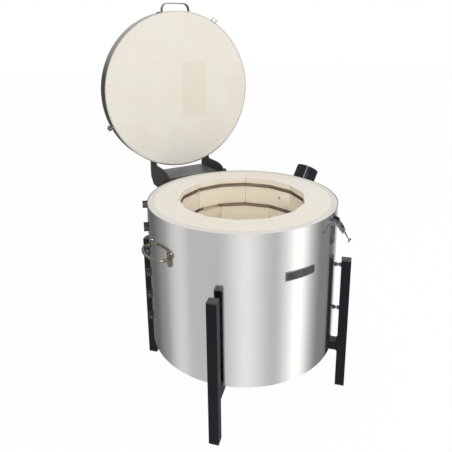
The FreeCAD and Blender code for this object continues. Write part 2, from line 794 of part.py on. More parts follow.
def ear_outline():
    """One ear of the lid bracket with the lid open: rear edge, foot, pin boss and front edge."""
    y, z = pivot_y, pivot_z
    back = lid_back()
    return [(back + 4, z + 112), (back + 8, z + 60), (back + 6, z + 29), (y + 114, z + 2), (y + 81, z),
            (y + 14, z), (y - 16, z), (y - 40, z + 26), (y - 54, z + 44), (y - 54, z + 60), (y - 49, z + 70),
            (y - 40, z + 79.5), (y - 28, z + 85), (y - 10, z + 89), (y + 2, z + 89.5), (y + 72, z + 89.5),
            (y + 76, web_z + 43), (y + 76, z + 112)]


def lid_back():
    """The outside of the open lid's top, along Y."""
    return pivot_y + (lid_top - pivot_z)


def hinge_bracket():
    """Two ears, the web between them and the two arms bolted along the lid."""
    back = lid_back()
    lid_middle = pivot_z + pivot_y
    half = ear_sheet / 2
    web = box(-ear_half_span, ear_half_span, pivot_y - web_forward, back + 1, web_z - half, web_z + half)
    hollow_radius = (ear_half_span ** 2 + web_scoop ** 2) / (2 * web_scoop)
    hollow_y = pivot_y - web_forward + web_scoop - hollow_radius
    web = web.cut(cylinder(hollow_radius, 2 * ear_sheet, vec(0, hollow_y, web_z - ear_sheet)))
    lid_room = cylinder(lid_radius + fit_gap, lid_thickness + 20, vec(0, back - lid_thickness - 20, lid_middle),
                        vec(0, 1, 0))
    pieces = [web]
    for side in (-1, 1):
        x0, x1 = side * ear_half_span - half, side * ear_half_span + half
        ear = plate_yz(ear_outline(), x0, x1)
        ear = ear.fuse(cylinder(boss_radius, ear_sheet, vec(x0, pivot_y, pivot_z), vec(1, 0, 0)))
        bottom = pivot_z + 88
        rib = plate_yz([(back, bottom), (back + 4, bottom), (back + arm_rib, bottom + 34),
                        (back + arm_rib, bottom + arm_length - 30), (back + 4, bottom + arm_length),
                        (back, bottom + arm_length)], x0, x1)
        f0, f1 = (x1 - arm_width, x1) if side > 0 else (x0, x0 + arm_width)
        flange = box(f0, f1, back, back + 4, bottom + 12, bottom + arm_length)
        pieces += [ear.cut(lid_room), rib, flange]
    body = fused(pieces)
    for side in (-1, 1):
        start = vec(side * ear_half_span - 10, pivot_y, pivot_z)
        body = body.cut(cylinder(pin_radius + turn_gap, 20, start, vec(1, 0, 0)))
        body = body.cut(cylinder(tie_rod_radius + press_gap, 20, start + tie_rod_offset(), vec(1, 0, 0)))
    return body


def tie_rod_offset():
    return vec(0, -tie_rod_forward, tie_rod_height)


def tie_rod():
    """The rod across the ears, with a nut outside the left ear."""
    start = vec(-ear_half_span - 25, pivot_y, pivot_z) + tie_rod_offset()
    rod = cylinder(tie_rod_radius, 2 * ear_half_span + 25 + 14, start, vec(1, 0, 0))
    nut = hex_prism(nut_across, 8, start + vec(25 - ear_sheet / 2 - 8 - press_gap, 0, 0), vec(1, 0, 0))
    return rod.fuse(nut).removeSplitter()


def tie_rod_cap():
    start = vec(ear_half_span + ear_sheet / 2 + press_gap, pivot_y, pivot_z) + tie_rod_offset()
    cap = cylinder(8.5, 21, start, vec(1, 0, 0))
    cap = cap.makeFillet(1.5, [e for e in cap.Edges if e.BoundBox.XMin > start.x + 20])
    return cap.cut(cylinder(tie_rod_radius + press_gap, 14 - ear_sheet / 2 + press_gap, start, vec(1, 0, 0)))


def lid_bolts():
    pieces = []
    for side in (-1, 1):
        x = side * (ear_half_span - arm_width / 2 - 1)
        for i in range(3):
            base = vec(x, lid_back() + 4, pivot_z + 122 + 75 * i)
            pieces.append(hex_prism(10, 5, base, vec(0, 1, 0)))
    return Part.makeCompound(pieces)


# Lid, modelled closed and then opened

def lid_slab():
    body = cylinder(lid_radius - lid_sheet - fit_gap, lid_thickness - lid_sheet - lid_face_step,
                    vec(0, 0, lid_z + lid_face_step))
    face = cylinder(lid_face_radius, lid_face_step + 1, vec(0, 0, lid_z))
    return body.fuse(face).removeSplitter()


def lid_band():
    z0, z1 = lid_z + lid_face_step, lid_top
    middle = (z0 + z1) / 2
    half = band_flange_height / 2
    ring = split_ring(lid_radius, lid_sheet, z0, z1, band_opening, band_flange, middle - half, middle + half)
    for side in (-1, 1):
        start = vec(side * band_opening / 2 - 4 * lid_sheet, -lid_radius - band_flange * 0.6, middle)
        ring = ring.cut(cylinder(band_bolt_radius + fit_gap, 8 * lid_sheet, start, vec(1, 0, 0)))
    return turned(ring, band_azimuth)


def lid_top_sheet():
    return cylinder(lid_radius - lid_sheet - fit_gap, lid_sheet, vec(0, 0, lid_top - lid_sheet))


def band_bolt():
    z = (lid_z + lid_face_step + lid_top) / 2
    return hex_bolts_across(band_bolt_radius, band_opening + 2 * lid_sheet,
                            [(-lid_radius - band_flange * 0.6, z)], band_azimuth)


def lid_handle():
    z = lid_middle_z()
    half = lid_handle_span / 2
    foot_y = -lid_radius
    chord = sqrt(lid_radius ** 2 - half ** 2)
    body = strap(half, lid_handle_reach + lid_radius - chord, lid_handle_corner, lid_handle_strap, lid_handle_width)
    body.translate(vec(0, -chord, z))
    tabs = []
    turn = 180 / pi * (half + 8) / lid_radius
    for side in (-1, 1):
        tab = box(-11, 11, foot_y - lid_handle_strap - press_gap, foot_y - press_gap,
                  z - lid_handle_width / 2, z + lid_handle_width / 2)
        tabs.append(turned(tab, side * turn))
    return fused([body] + tabs).cut(cylinder(lid_radius + press_gap, 2 * rim_z, vec(0, 0, 0)))


def lid_middle_z():
    return (lid_z + lid_face_step + lid_top) / 2


def lid_rivets():
    pieces = []
    turn = 180 / pi * (lid_handle_span / 2 + 8) / lid_radius
    for side in (-1, 1):
        base = vec(side * 3, -lid_radius - lid_handle_strap - 2 * press_gap, lid_middle_z())
        pieces.append(turned(dome(3.0, 1.8, base, vec(0, -1, 0)), side * turn))
    return Part.makeCompound(pieces)


def lid_catch():
    """The two claws on the lid band that the latch's cross bar pulls down on."""
    z = lid_z + 0.6
    r = lid_radius + press_gap
    half = latch_cheek_span / 2
    out = jacket_radius + catch_out + hook_wire_radius + 1
    plate = box(-half, half, -r - latch_sheet, -r, lid_z + lid_face_step + 1, lid_middle_z() + 4)
    claws = []
    for side in (-1, 1):
        x0, x1 = (hook_wire_radius + 2, half) if side > 0 else (-half, -hook_wire_radius - 2)
        claws.append(box(x0, x1, -r - latch_sheet, -r, z, lid_middle_z()))
        claws.append(box(x0, x1, -out - latch_sheet, -r, z, z + latch_sheet))
        claws.append(box(x0, x1, -out - latch_sheet, -out, z, z + latch_sheet + 3.5))
    return turned(fused([plate] + claws), latch_azimuth)


# Latch, modelled at the front and turned

def along_lever(shape):
    """A shape drawn with the lever hanging straight down, swung out to the open lever."""
    copy = shape.copy()
    copy.rotate(vec(0, -jacket_radius - latch_pivot_out, latch_pivot_z), vec(1, 0, 0), -lever_angle)
    return turned(copy, latch_azimuth)


def latch_base():
    top = rim_z - latch_top_drop
    half = latch_width / 2
    r = jacket_radius + press_gap
    plate = box(-half, half, -r - latch_sheet, -r, top - latch_height, top)
    plate = plate.makeFillet(6, [e for e in plate.Edges if is_along_y(e)])
    reach = jacket_radius + latch_pivot_out
    cheeks = []
    for side in (-1, 1):
        span = latch_cheek_span / 2
        x0, x1 = (span - latch_sheet, span) if side > 0 else (-span, -span + latch_sheet)
        z = latch_pivot_z
        cheek = plate_yz([(-r - 1, z - 16), (-r - 1, z + 11), (-reach, z + 7), (-reach, z - 7)], x0, x1)
        cheeks.append(cheek.fuse(cylinder(7, x1 - x0, vec(x0, -reach, z), vec(1, 0, 0))))
    body = fused([plate] + cheeks)
    body = body.cut(cylinder(jacket_radius + press_gap, 2 * rim_z, vec(0, 0, 0)))
    pin_hole = cylinder(latch_pin_radius + press_gap, latch_width + 4, vec(-half - 2, -reach, latch_pivot_z),
                        vec(1, 0, 0))
    return turned(body.cut(pin_hole), latch_azimuth)


def latch_pins():
    """Two stub pins, one in each cheek of the base, so that the hook can pass between them."""
    half = latch_cheek_span / 2
    pieces = []
    for side in (-1, 1):
        x0 = lever_half() - latch_sheet if side > 0 else -half - 1
        pin = cylinder(latch_pin_radius, half + 1 - lever_half() + latch_sheet,
                       vec(x0, -jacket_radius - latch_pivot_out, latch_pivot_z), vec(1, 0, 0))
        pieces.append(turned(pin, latch_azimuth))
    return Part.makeCompound(pieces)


def latch_rivets():
    pieces = []
    top = rim_z - latch_top_drop
    for z in (top - latch_height + 9, top - latch_height + 24):
        base = vec(0, -jacket_radius - press_gap - latch_sheet, z)
        pieces.append(turned(dome(3.0, 1.6, base, vec(0, -1, 0)), latch_azimuth))
    return Part.makeCompound(pieces)


def lever_half():
    return latch_cheek_span / 2 - latch_sheet - 0.5


def latch_lever():
    """A channel open to the outside: two cheeks and a web, turning on the base's stub pins."""
    pivot = vec(0, -jacket_radius - latch_pivot_out, latch_pivot_z)
    half = lever_half()
    outline = [(0, -4.8), (lever_length - 2, -2.5), (lever_length, -0.5), (lever_length - 2, 1),
               (hook_along + 6, hook_offset + 3), (hook_along - 6, hook_offset + 3), (0, 4.8)]
    points = [(pivot.y - t, pivot.z - s) for s, t in outline]
    pieces = []
    for side in (-1, 1):
        x0 = half - latch_sheet if side > 0 else -half
        pieces.append(plate_yz(points, x0, x0 + latch_sheet))
        pieces.append(cylinder(4.8, latch_sheet, vec(x0, pivot.y, pivot.z), vec(1, 0, 0)))
    web_top = pivot.z - hook_along - 6
    pieces.append(box(-half, half, pivot.y + 1, pivot.y + 2.5, pivot.z - lever_length + 1.5, web_top))
    body = fused(pieces)
    body = body.cut(cylinder(latch_pin_radius + turn_gap, latch_width, pivot - vec(latch_width / 2, 0, 0),
                             vec(1, 0, 0)))
    body = body.cut(cylinder(hook_pin_radius + press_gap, latch_width, hook_pin_point() - vec(latch_width / 2, 0, 0),
                             vec(1, 0, 0)))
    return along_lever(body)


def hook_pin_point():
    """The hook's pin with the lever hanging straight down, at the front."""
    return vec(0, -jacket_radius - latch_pivot_out - hook_offset, latch_pivot_z - hook_along)


def hook_pin():
    start = hook_pin_point() - vec(lever_half(), 0, 0)
    return along_lever(cylinder(hook_pin_radius, 2 * lever_half(), start, vec(1, 0, 0)))


def latch_hook():
    """The hook rod with an eye on the lever's pin and a cross bar at its end."""
    pin = hook_pin_point()
    eye = cylinder(4.2, 9, pin - vec(4.5, 0, 0), vec(1, 0, 0))
    rod = cylinder(hook_wire_radius, hook_length, pin, vec(0, 0, -1))
    bar = cylinder(hook_wire_radius, hook_bar, pin + vec(-hook_bar / 2, 0, -hook_length), vec(1, 0, 0))
    body = fused([eye, rod, bar]).cut(cylinder(hook_pin_radius + turn_gap, 20, pin - vec(10, 0, 0), vec(1, 0, 0)))
    body.rotate(pin, vec(1, 0, 0), lever_angle - hook_angle)
    return along_lever(body)


def export(name, shape):
    solids = shape.Solids
    assert solids and shape.isValid(), name
    shape = solids[0] if len(solids) == 1 else Part.makeCompound(solids)
    shape.exportStep("parts/" + name + ".step")
    print(name, len(solids), round(shape.Volume / 1000, 1), "cm3")


def main():
    os.makedirs("parts", exist_ok=True)
    export("jacket", jacket())
    export("seam_bolts", seam_bolts())
    export("base_pan", base_pan())
    export("floor_board", floor_board())
    export("floor_slab", floor_slab())
    export("backup_insulation", backup_insulation())
    for row in range(row_count):
        export("wall_course_%d" % (row + 1), wall_course(row))
        export("heating_element_%d" % (row + 1), heating_element(row))
    export("lead_bushings", lead_bushings())
    export("thermocouple", thermocouple())
    for name, azimuth in leg_azimuths.items():
        export("leg_" + name, turned(leg(), azimuth))
    export("leg_feet", Part.makeCompound([turned(leg_plug(True), a) for a in leg_azimuths.values()]))
    export("leg_caps", Part.makeCompound([turned(leg_plug(False), a) for a in leg_azimuths.values()]))
    rods, nuts = studs()
    export("leg_studs", rods)
    export("leg_stud_nuts", nuts)
    for name, azimuth in handle_azimuths.items():
        export("handle_" + name, turned(side_handle(), azimuth))
    export("handle_rivets", handle_rivets())
    export("nameplate", nameplate())
    export("vent_tube", vent_tube())
    export("vent_flange", vent_flange())
    export("terminal_box", terminal_box())
    export("terminal_cover", terminal_cover())
    export("cover_screws", cover_screws())
    export("terminal_blocks", terminal_blocks())
    export("cable_gland", cable_gland())
    export("hinge_lug_left", hinge_lug(-1))
    export("hinge_lug_right", hinge_lug(1))
    export("lug_bolts", lug_bolts())
    export("hinge_pin", hinge_pin())
    export("hinge_washers", hinge_washers())
    export("hinge_bracket", hinge_bracket())
    export("tie_rod", tie_rod())
    export("tie_rod_cap", tie_rod_cap())
    export("lid_bolts", lid_bolts())
    export("lid_slab", opened(lid_slab()))
    export("lid_band", opened(lid_band()))
    export("lid_top_sheet", opened(lid_top_sheet()))
    export("band_bolt", opened(band_bolt()))
    export("lid_handle", opened(lid_handle()))
    export("lid_rivets", opened(lid_rivets()))
    export("lid_catch", opened(lid_catch()))
    export("latch_base", latch_base())
    export("latch_pins", latch_pins())
    export("latch_rivets", latch_rivets())
    export("latch_lever", latch_lever())
    export("latch_hook_pin", hook_pin())
    export("latch_hook", latch_hook())


main()
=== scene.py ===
import json
from math import cos, degrees, pi, radians, sin

import bpy
from mathutils import Matrix, Vector


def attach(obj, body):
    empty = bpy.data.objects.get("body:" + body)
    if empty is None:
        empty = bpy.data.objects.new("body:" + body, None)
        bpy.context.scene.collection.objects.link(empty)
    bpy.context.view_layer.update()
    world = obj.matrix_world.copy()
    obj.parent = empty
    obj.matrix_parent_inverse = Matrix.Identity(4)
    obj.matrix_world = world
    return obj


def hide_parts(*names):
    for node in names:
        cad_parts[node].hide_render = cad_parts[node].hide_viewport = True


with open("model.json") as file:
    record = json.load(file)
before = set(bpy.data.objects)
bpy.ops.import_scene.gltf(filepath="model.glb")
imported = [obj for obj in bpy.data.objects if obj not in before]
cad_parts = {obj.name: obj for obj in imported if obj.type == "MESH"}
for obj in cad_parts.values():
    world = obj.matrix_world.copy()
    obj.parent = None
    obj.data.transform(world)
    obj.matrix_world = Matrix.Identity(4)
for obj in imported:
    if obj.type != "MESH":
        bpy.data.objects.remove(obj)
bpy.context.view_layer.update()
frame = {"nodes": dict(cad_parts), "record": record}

nodes = frame["nodes"]
slotOf = {row["node"]: row["material_slot"] for row in frame["record"]["subparts"]}
bodyOf = {name: body for body, names in frame["record"]["behaviour"]["bodies"].items() for name in names}
print("frame loaded:", len(nodes), "nodes")


# small helpers

def deselectAll():
    if bpy.context.object and bpy.context.object.mode != "OBJECT":
        bpy.ops.object.mode_set(mode="OBJECT")
    bpy.ops.object.select_all(action="DESELECT")


def pickOnly(*pieces):
    deselectAll()
    for piece in pieces:
        piece.select_set(True)
    bpy.context.view_layer.objects.active = pieces[0]


def joined(parts):
    pickOnly(*parts)
    bpy.ops.object.join()
    return bpy.context.object


def keep(piece, name, body, material, slotName, *replaced):
    # puts the place in the mesh, names the piece and hangs it on its body
    pickOnly(piece)
    bpy.ops.object.transform_apply(location=True, rotation=True, scale=True)
    piece.name = name
    piece.data.name = name
    piece.data.materials.clear()
    piece.data.materials.append(material)
    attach(piece, body)
    if replaced:
        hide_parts(*replaced)
    return piece


def around(radius, azimuth, height):
    # a point by its azimuth from the front, counted towards +X
    a = radians(azimuth)
    return Vector((radius * sin(a), -radius * cos(a), height))


class Wire:  # a shader socket that can be used in arithmetic
    def __init__(self, bench, socket):
        self.bench = bench
        self.socket = socket

    def maths(self, operation, other=None, swapped=False):
        first, second = (other, self) if swapped else (self, other)
        values = {0: first} if other is None else {0: first, 1: second}
        return self.bench.node("ShaderNodeMath", {"operation": operation}, values)

    def __add__(self, other):
        return self.maths("ADD", other)

    def __sub__(self, other):
        return self.maths("SUBTRACT", other)

    def __rsub__(self, other):
        return self.maths("SUBTRACT", other, True)

    def __mul__(self, other):
        return self.maths("MULTIPLY", other)

    def __truediv__(self, other):
        return self.maths("DIVIDE", other)

    def __pow__(self, other):
        return self.maths("POWER", other)

    def size(self):
        return self.maths("ABSOLUTE")

    def toWhole(self):
        # distance to the nearest whole number
        return (self.maths("FRACT") - 0.5).size() * -1.0 + 0.5

    def between(self, low, high):
        # 0 at low and 1 at high, smooth; low may be the larger one
        if low > high:
            return 1 - self.between(high, low)
        return self.bench.node("ShaderNodeMapRange", {"interpolation_type": "SMOOTHSTEP"},
                               {0: self, 1: low, 2: high, 3: 0.0, 4: 1.0})


class NodeBench:  # the nodes of one material or of the world, made by one method
    def __init__(self, tree):
        self.tree = tree
        tree.nodes.clear()

    def put(self, socket, value):
        if isinstance(value, Wire):
            self.tree.links.new(value.socket, socket)
        elif isinstance(value, tuple) and len(value) == 3 and socket.type == "RGBA":
            socket.default_value = value + (1.0,)
        else:
            socket.default_value = value

    def several(self, kind, outputs, values=None, settings=None):
        made = self.tree.nodes.new(kind)
        for key, value in (settings or {}).items():
            setattr(made, key, value)
        for key, value in (values or {}).items():
            self.put(made.inputs[key], value)
        return [Wire(self, made.outputs[key]) for key in outputs]

    def node(self, kind, settings=None, values=None, output=0):
        return self.several(kind, (output,), values, settings)[0]

    def place(self):
        return self.node("ShaderNodeTexCoord", output="Object")

    def facing(self, axis="Z"):
        # how far the surface faces along an axis, from -1 to 1
        normal = self.node("ShaderNodeTexCoord", output="Normal")
        return self.node("ShaderNodeSeparateXYZ", {}, {0: normal}, axis)

    def axes(self, names="XYZ"):
        return self.several("ShaderNodeSeparateXYZ", names, {0: self.place()})

    def noise(self, scale, detail, rough, stretch=None, distortion=0.0):
        where = self.place()
        if stretch:
            where = self.node("ShaderNodeMapping", {}, {0: where, "Scale": stretch})
        return self.node("ShaderNodeTexNoise", {}, {"Vector": where, "Scale": scale, "Detail": detail,
                                                    "Roughness": rough, "Distortion": distortion})

    def cells(self, scale, feature="F1"):
        return self.node("ShaderNodeTexVoronoi", {"feature": feature},
                         {"Vector": self.place(), "Scale": scale})

    def chance(self, number):
        # one random value for each whole number
        return self.node("ShaderNodeTexWhiteNoise", {"noise_dimensions": "1D"}, {"W": number})

    def blend(self, factor, first, second):
        mix = self.tree.nodes.new("ShaderNodeMix")
        mix.data_type = "RGBA"
        self.put(mix.inputs[0], factor)
        self.put(mix.inputs[6], first)     # the inputs from 1 to 5 serve other data types
        self.put(mix.inputs[7], second)
        return Wire(self, mix.outputs[2])

    def bump(self, height, strength, distance):
        return self.node("ShaderNodeBump", {}, {"Height": height, "Strength": strength, "Distance": distance})


class Finish(NodeBench):  # one material
    def __init__(self, name):
        self.material = bpy.data.materials.new(name)
        self.material.use_nodes = True
        super().__init__(self.material.node_tree)
        self.shader = self.tree.nodes.new("ShaderNodeBsdfPrincipled")
        self.output = self.tree.nodes.new("ShaderNodeOutputMaterial")
        self.tree.links.new(self.shader.outputs[0], self.output.inputs[0])

    def set(self, **values):
        names = {"colour": "Base Color", "roughness": "Roughness", "metallic": "Metallic",
                 "specular": "Specular IOR Level", "normal": "Normal"}
        for key, value in values.items():
            self.put(self.shader.inputs[names[key]], value)
        return self.material


def azimuthOf(x, y):
    # angle from the front, counted towards +X, in radians
    return x.maths("ARCTAN2", y * -1.0)


def radiusOf(x, y):
    return (x * x + y * y) ** 0.5


def darker(colour, share):
    return tuple(share * c for c in colour)


# finishes; noise and cells have their scale in repeats a metre

pore = {
    "clouds": 9.0,
    "grain": 420.0,
    "pores": 260.0,
    "patches": 60.0,                 # where the pores gather
    "poreSize": (0.16, 0.05),        # from a pore's middle: where it ends and where it is deepest
    "poreTint": 0.4,
    "grainTint": 0.12,
    "grainHeight": 0.35,
    "cloudHeight": 0.4,
    "poreDepth": 0.8,
}


def porous(finish, base, shade, amount):
    # crumbly firebrick: soft clouds, fine grain and scattered pores
    clouds = finish.noise(pore["clouds"], detail=5.0, rough=0.6)
    grain = finish.noise(pore["grain"], detail=3.0, rough=0.7)
    patches = finish.noise(pore["patches"], detail=2.0, rough=0.5).between(0.45, 0.62)
    pores = finish.cells(pore["pores"]).between(*pore["poreSize"]) * patches
    tint = pores * pore["poreTint"] + grain.between(0.45, 0.75) * pore["grainTint"]
    colour = finish.blend(clouds.between(0.35, 0.75) * amount, base, shade)
    colour = finish.blend(tint, colour, shade)
    height = grain * pore["grainHeight"] + clouds * pore["cloudHeight"] - pores * pore["poreDepth"]
    return colour, height


brick = {
    "rimColour": (0.80, 0.765, 0.69),
    "rimShade": (0.70, 0.64, 0.54),
    # the walls inside the chamber take a lighter copy of the rim's brick colours: painted light
    "wallColour": (0.90, 0.83, 0.69),
    "wallShade": (0.76, 0.66, 0.52),
    "floorColour": (0.68, 0.60, 0.48),
    "floorShade": (0.52, 0.43, 0.32),
    "jointColour": (0.42, 0.33, 0.23),
    "stain": (0.50, 0.38, 0.26),     # what the hot wire leaves round a groove
    # inside a groove: brown stain, with painted shade in the recess
    "grooveStain": (0.50, 0.35, 0.21),
    "clouds": 0.22,                  # how far the clouds go towards the shade
    "floorClouds": 0.4,
    "brickTone": 0.16,               # how far a brick may differ from the next
    "jointStrength": 0.55,
    "stainStrength": 0.30,
    "grooveStrength": 0.45,
    "rimFade": (0.637, 0.632),       # heights where the rim's tone ends and the walls' lighter tone, painted light, begins
    "stainReach": (0.024, 0.007),    # from the middle of a row: where the stain ends and where it is full
    "grooveFront": (0.2005, 0.203),  # depths from the middle of the chamber
    "grooveBack": (0.222, 0.218),
    "rowHeights": (0.613, 0.537, 0.461, 0.385),
    "courseTop": 0.620,
    "courseHeight": 0.076,
    "bricksRound": 7,
    "firstJoint": -9.9,              # azimuth of one joint of the top course, degrees
    "jointShare": 0.006,             # half a joint's width as a share of a brick
    "jointCore": 0.3,                # share of that width which is fully dark
}
brickAngle = 360.0 / brick["bricksRound"]


def chamberDepth(x, y):
    # distance from the middle of the chamber to the flat side behind a point; each brick has two flat sides
    flatAngle = radians(brickAngle / 2)
    turns = (azimuthOf(x, y) + (4 * pi - radians(brick["firstJoint"]))) / flatAngle
    off = (turns.maths("FRACT") - 0.5) * flatAngle
    return radiusOf(x, y) * off.maths("COSINE")


def wallBrick():
    finish = Finish("insulatingBrick")
    x, y, z = finish.axes()
    rim, height = porous(finish, brick["rimColour"], brick["rimShade"], brick["clouds"])
    # the walls get the lighter copy: painted light inside the chamber
    wall = porous(finish, brick["wallColour"], brick["wallShade"], brick["clouds"])[0]
    below = z.between(*brick["rimFade"])
    colour = finish.blend(below, rim, wall)

    # a tone for each brick, and the joints between them
    course = ((brick["courseTop"] - z) / brick["courseHeight"]).maths("FLOOR").maths("MAXIMUM", 0.0)
    turned = azimuthOf(x, y) * degrees(1.0) + (720.0 - brick["firstJoint"])
    place = turned / brickAngle + course * 0.5
    number = place.maths("FLOOR").maths("MODULO", brick["bricksRound"])
    tone = finish.chance(course * brick["bricksRound"] + number)
    colour = finish.blend(tone * brick["brickTone"], colour, brick["wallShade"])
    joint = place.toWhole().between(brick["jointShare"], brick["jointShare"] * brick["jointCore"])
    colour = finish.blend(joint * below * brick["jointStrength"], colour, brick["jointColour"])

    # stains round the rows of wire, and inside the grooves a brown that is partly stain and partly painted
    # shade
    heat = 0.0
    for rowHeight in brick["rowHeights"]:
        heat = (z - rowHeight).size().between(*brick["stainReach"]) + heat
    spread = finish.noise(22.0, detail=3.0, rough=0.5).between(0.25, 0.8)
    colour = finish.blend(heat * spread * brick["stainStrength"], colour, brick["stain"])
    depth = chamberDepth(x, y)
    groove = depth.between(*brick["grooveFront"]) * depth.between(*brick["grooveBack"])
    colour = finish.blend(groove * below * brick["grooveStrength"], colour, brick["grooveStain"])
    return finish.set(colour=colour, roughness=0.95, specular=0.2,
                      normal=finish.bump(height, strength=0.3, distance=0.0012))


def floorBrick():
    finish = Finish("floorBrick")
    colour, height = porous(finish, brick["floorColour"], brick["floorShade"], brick["floorClouds"])
    return finish.set(colour=colour, roughness=0.95, specular=0.2,
                      normal=finish.bump(height, strength=0.35, distance=0.0015))


lidFace = {
    "colour": (0.72, 0.69, 0.62),
    "shade": (0.63, 0.57, 0.47),
    "warmColour": (0.62, 0.535, 0.40),
    "jointColour": (0.55, 0.47, 0.36),
    "clouds": 0.22,
    "brickTone": 0.14,
    "warmth": 0.30,
    "jointStrength": 0.30,
    "jointDepth": 0.8,
    "brickWide": 0.103,
    "brickHigh": 0.212,
    "warmCorner": (0.005, 0.834),    # one corner of the warmer brick in the middle row
    "jointWidth": 0.0011,
    "wander": 0.004,                 # how far a joint strays from its line
    "rowStep": 9.0,                  # more than the bricks in a row, so each brick has its own number
}


def lidBrick():
    # cemented from bricks on end: faint lines, a slightly different tone for each, one warmer brick
    finish = Finish("lidBrick")
    x, z = finish.axes("XZ")
    colour, height = porous(finish, lidFace["colour"], lidFace["shade"], lidFace["clouds"])
    wander = (finish.noise(14.0, detail=2.0, rough=0.5) - 0.5) * lidFace["wander"]
    across = (x + wander - lidFace["warmCorner"][0]) / lidFace["brickWide"]
    up = (z + wander - lidFace["warmCorner"][1]) / lidFace["brickHigh"]
    row = up.maths("FLOOR")
    across = across + row.maths("MODULO", 2.0).size() * 0.5
    number = across.maths("FLOOR")
    tone = finish.chance(row * lidFace["rowStep"] + number)
    colour = finish.blend(tone * lidFace["brickTone"], colour, lidFace["shade"])
    warm = (1 - row.size().maths("MINIMUM", 1.0)) * (1 - number.size().maths("MINIMUM", 1.0))
    colour = finish.blend(warm * lidFace["warmth"], colour, lidFace["warmColour"])
    toSide, toRow = across.toWhole() * lidFace["brickWide"], up.toWhole() * lidFace["brickHigh"]
    joints = toSide.maths("MINIMUM", toRow)
    joints = joints.between(lidFace["jointWidth"], lidFace["jointWidth"] * brick["jointCore"])
    worn = finish.noise(30.0, detail=3.0, rough=0.5).between(0.35, 0.7)
    colour = finish.blend(joints * worn * lidFace["jointStrength"], colour, lidFace["jointColour"])
    height = height - joints * lidFace["jointDepth"]
    return finish.set(colour=colour, roughness=0.93, specular=0.2,
                      normal=finish.bump(height, strength=0.25, distance=0.0012))


board = {
    "colour": (0.71, 0.69, 0.65),
    "shade": (0.61, 0.585, 0.54),
    "clouds": 12.0,
    "cloudTint": 0.5,
    "cloudHeight": 0.5,
    "fibres": 160.0,
    "fibreStretch": (1.0, 1.0, 0.25),
}


def fibreBoard():
    finish = Finish("fibreBoard")
    fibres = finish.noise(board["fibres"], detail=4.0, rough=0.7, stretch=board["fibreStretch"],
                          distortion=0.8)
    clouds = finish.noise(board["clouds"], detail=3.0, rough=0.5)
    colour = finish.blend(clouds.between(0.3, 0.8) * board["cloudTint"], board["colour"], board["shade"])
    height = fibres + clouds * board["cloudHeight"]
    return finish.set(colour=colour, roughness=0.97, specular=0.15,
                      normal=finish.bump(height, strength=0.25, distance=0.001))


sheet = {
    "colour": (0.72, 0.715, 0.70),
    "smearShare": 0.92,              # a smear's tone as a share of the colour
    "smearTint": 0.3,
    "smearRoughness": 0.05,
    "drawnRoughness": 0.03,
    "drawnHeight": 0.02,
    "scratchRoughness": 0.04,
    # painted dark reflection on the seam's tabs and on the sheet beside them
    "dullColour": (0.055, 0.056, 0.06),
    "dullRoughness": 0.25,
    "dullBeside": (1.5, 0.8),        # degrees from the seam: where the painted dark reflection and the rougher sheet end and where they are full
    "tabRadius": (0.3052, 0.306),    # the tabs stand outside the drum
    "edgeFacing": (-0.6, -0.9),      # the cut edge round the brick face looks to the front
}


def polishedSteel(name, colour, rough, seamAzimuth=None, cutEdge=None):
    # rolled sheet: long shallow waves, drawing lines, faint smears and hair scratches
    finish = Finish(name)
    drawn = finish.noise(90.0, detail=3.0, rough=0.6, stretch=(1.0, 1.0, 0.02))
    smears = finish.noise(5.0, detail=4.0, rough=0.6, stretch=(1.0, 1.0, 0.35))
    scratches = finish.noise(240.0, detail=2.0, rough=0.5, stretch=(1.0, 1.0, 0.08), distortion=1.2)
    roughness = (smears.between(0.3, 0.8) * sheet["smearRoughness"] + drawn * sheet["drawnRoughness"]
                 + scratches.between(0.62, 0.72) * sheet["scratchRoughness"] + rough)
    tone = finish.blend(smears.between(0.35, 0.8) * sheet["smearTint"], colour,
                        darker(colour, sheet["smearShare"]))
    if seamAzimuth is not None:
        # the folded tabs and the sheet beside the seam are painted dark, a painted dark reflection, and made
        # rougher
        x, y = finish.axes("XY")
        folded = radiusOf(x, y).between(*sheet["tabRadius"])
        beside = (azimuthOf(x, y) * degrees(1.0) - seamAzimuth).size().between(*sheet["dullBeside"])
        seamDarkAndDull = folded.maths("MAXIMUM", beside)
        tone = finish.blend(seamDarkAndDull, tone, sheet["dullColour"])
        roughness = seamDarkAndDull * sheet["dullRoughness"] + roughness
    if cutEdge is not None:
        tone = finish.blend(finish.facing("Y").between(*sheet["edgeFacing"]), tone, cutEdge)
    height = finish.noise(6.0, detail=2.0, rough=0.4, stretch=(1.0, 1.0, 0.3)) + drawn * sheet["drawnHeight"]
    return finish.set(colour=tone, roughness=roughness, metallic=1.0,
                      normal=finish.bump(height, strength=0.12, distance=0.002))


def plainMetal(name, colour, rough, tarnishAndReflection=0.6, dark=0.62):
    # tarnish and reflection: how far the patches go towards the dark tone, which is a share of the colour;
    # the patches are tarnish, and on the plated fixings, studs and seam bolts also a painted dark reflection
    finish = Finish(name)
    wear = finish.noise(70.0, detail=4.0, rough=0.65)
    fine = finish.noise(300.0, detail=2.0, rough=0.6)
    tone = finish.blend(wear.between(0.38, 0.62) * tarnishAndReflection, colour, darker(colour, dark))
    return finish.set(colour=tone, roughness=wear * 0.16 + fine * 0.05 + rough, metallic=1.0,
                      normal=finish.bump(fine + wear, strength=0.12, distance=0.0006))


dustAndSheen = {
    "facing": (0.5, 0.95),           # how far a surface looks up where the dust and painted sheen begin and where they are full
    # what faces up turns towards these colours: a little dust and a painted sheen
    "colour": (0.085, 0.085, 0.084),
    "plasticColour": (0.085, 0.084, 0.083),
    "paleColour": (0.215, 0.215, 0.225),
}


